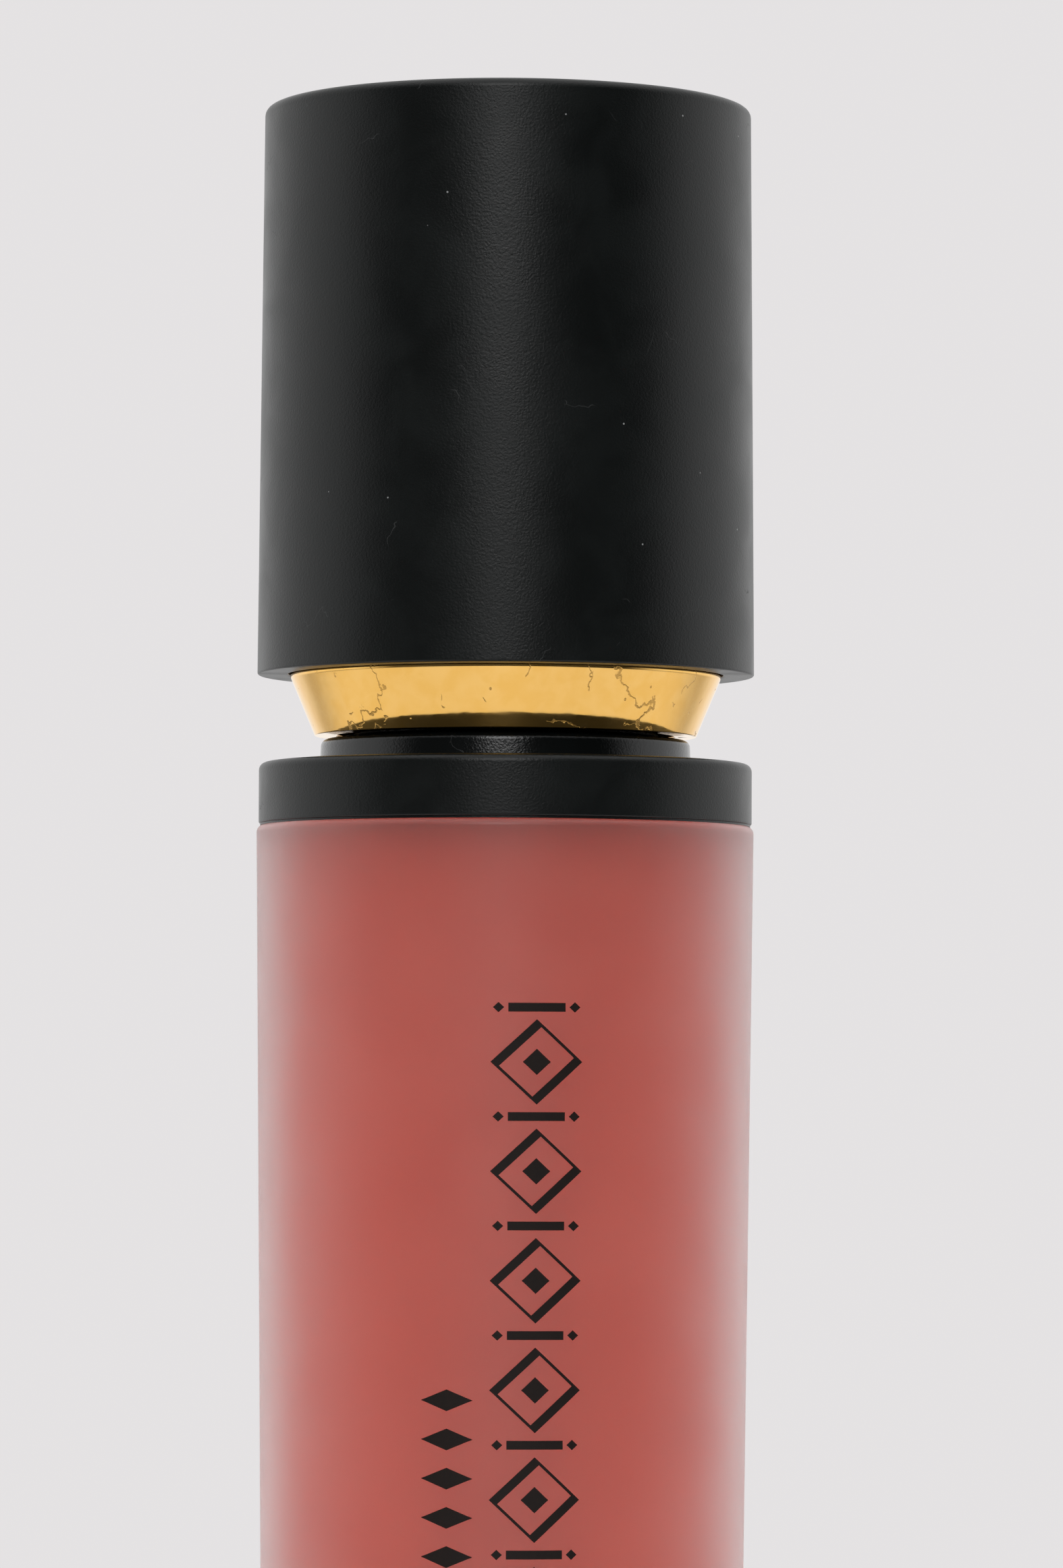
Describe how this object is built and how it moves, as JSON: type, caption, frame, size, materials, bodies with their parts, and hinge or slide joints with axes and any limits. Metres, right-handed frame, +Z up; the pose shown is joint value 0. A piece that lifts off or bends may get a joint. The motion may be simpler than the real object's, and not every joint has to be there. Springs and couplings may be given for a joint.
{
  "type": "lip gloss tube",
  "caption": "Round frosted lip gloss tube with a black collar and a matte black screw cap on a gold cone ring, carrying a flocked wand applicator.",
  "frame": {"origin": "centre of the flat base that the tube stands on", "axes": "+Z up along the tube's axis towards the cap, +Y away from the printed side, +X to its right"},
  "size_m": [0.02, 0.02, 0.082],
  "materials": {
    "frosted_tube": "frosted translucent, thick wall",
    "gloss_filling": "creamy coral red filling",
    "label_paper": "matt coated sticker",
    "matte_black": "soft matt lacquer",
    "satin_black": "satin moulded",
    "natural_plastic": "natural milky polyethylene",
    "gilt": "vacuum-metallised gold, mirror bright",
    "liner_foam": "foamed polyethylene",
    "flock": "nylon flock"
  },
  "bodies": {
    "tube": {"tube_body": "frosted_tube", "base_label": "label_paper", "gloss": "gloss_filling", "collar_ring": "matte_black", "neck_insert": "satin_black", "wiper": "natural_plastic"},
    "washer": {"sealing_washer": "liner_foam"},
    "trim": {"trim_ring": "gilt"},
    "cap": {"cap_shell": "matte_black", "inner_cap": "natural_plastic", "wand_stem": "satin_black", "applicator_core": "natural_plastic", "applicator_flocking": "flock"}
  },
  "joints": [
    {"name": "wand_withdraw", "type": "slide", "parent": "tube", "child": "washer", "axis": [0, 0, 1], "range_m": [0, 0.06]},
    {"name": "thread_rise", "type": "slide", "parent": "washer", "child": "trim", "axis": [0, 0, 1], "range_m": [0, 0.00316]},
    {"name": "cap_turn", "type": "hinge", "parent": "trim", "child": "cap", "pos_m": [0, 0, 0.06], "axis": [0, 0, 1], "range_deg": [0, 540]}
  ],
  "couplings": [
    {"joint": "thread_rise", "follows": "cap_turn", "m_per_rad": 0.00033423}
  ]
}
